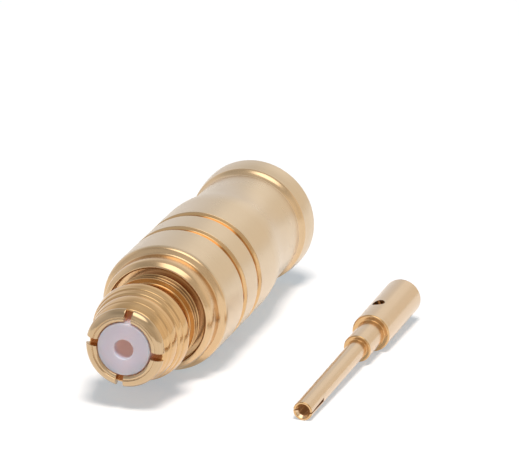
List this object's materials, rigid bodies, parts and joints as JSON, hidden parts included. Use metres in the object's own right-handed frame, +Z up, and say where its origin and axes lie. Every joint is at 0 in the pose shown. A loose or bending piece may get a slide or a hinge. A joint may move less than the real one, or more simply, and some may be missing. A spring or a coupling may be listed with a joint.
{
  "type": "smp connector",
  "caption": "Gold-plated push-on coaxial cable connector with slotted spring fingers, stepped collar, grooved round body and rear flange, with its loose centre contact beside it.",
  "frame": {"origin": "on the connector's axis, in the plane of the finger tips, at the mouth of the insulator's centre hole", "axes": "+Y along the connector's axis from the mating end to the cable end, +Z up from the surface that the connector and its contact lie on, +X towards the loose contact"},
  "size_m": [0.0103, 0.0162, 0.005],
  "materials": {
    "body_gold": "satin gold plating on turned brass",
    "collar_gold": "polished gold plating on turned brass",
    "finger_gold": "polished gold plating on turned beryllium copper",
    "insulator_white": "plain turned fluoropolymer",
    "contact_gold": "satin gold plating on turned beryllium copper"
  },
  "bodies": {
    "root": {"body": "body_gold", "front_collar": "collar_gold", "spring_fingers": "finger_gold", "insulator": "insulator_white", "centre_contact": "contact_gold"}
  },
  "joints": []
}
